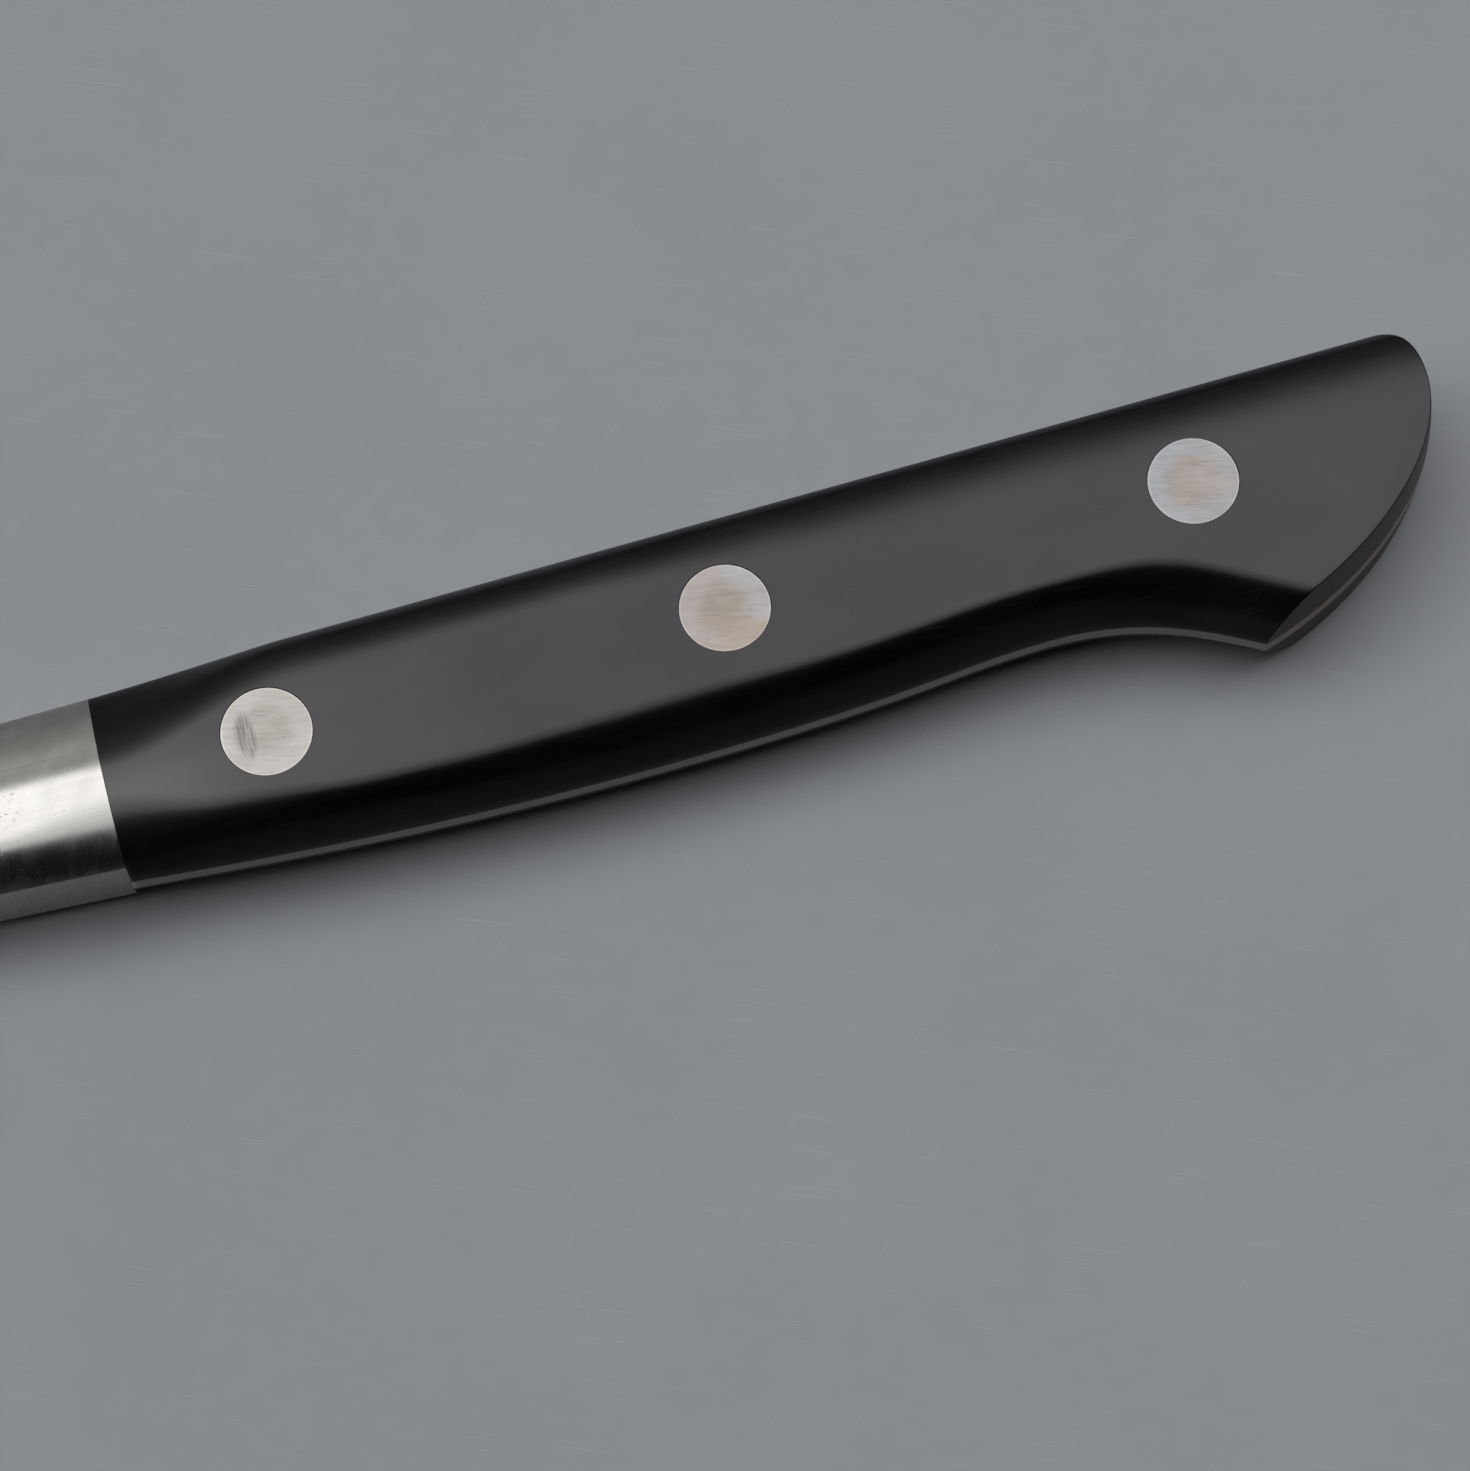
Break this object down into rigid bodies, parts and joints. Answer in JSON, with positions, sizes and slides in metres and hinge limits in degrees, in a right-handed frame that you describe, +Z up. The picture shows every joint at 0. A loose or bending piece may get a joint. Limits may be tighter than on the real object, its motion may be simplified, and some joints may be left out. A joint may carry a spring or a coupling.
{
  "type": "kitchen utility knife",
  "caption": "Fixed-blade kitchen utility knife with a tapered blade, steel bolster and riveted black full-tang handle with a hooked butt.",
  "frame": {"origin": "centre of the knife's outline, on the plane of the right handle slab's outer face that the knife lies on", "axes": "+X along the spine towards the butt, with the tip towards -X; +Y from the cutting edge towards the spine; +Z up, out of the left side"},
  "size_m": [0.2776, 0.028, 0.0108],
  "materials": {
    "blade_steel": "satin, brushed along the blade",
    "bolster_steel": "polished with fine cross scratches",
    "rivet_steel": "ground flush, fine scratches",
    "handle_black": "satin black"
  },
  "bodies": {
    "root": {"blade": "blade_steel", "bolster_left": "bolster_steel", "bolster_right": "bolster_steel", "handle_scale_left": "handle_black", "handle_scale_right": "handle_black", "rivet_front_stud": "rivet_steel", "rivet_front_sleeve": "rivet_steel", "rivet_middle_stud": "rivet_steel", "rivet_middle_sleeve": "rivet_steel", "rivet_rear_stud": "rivet_steel", "rivet_rear_sleeve": "rivet_steel"}
  },
  "joints": []
}
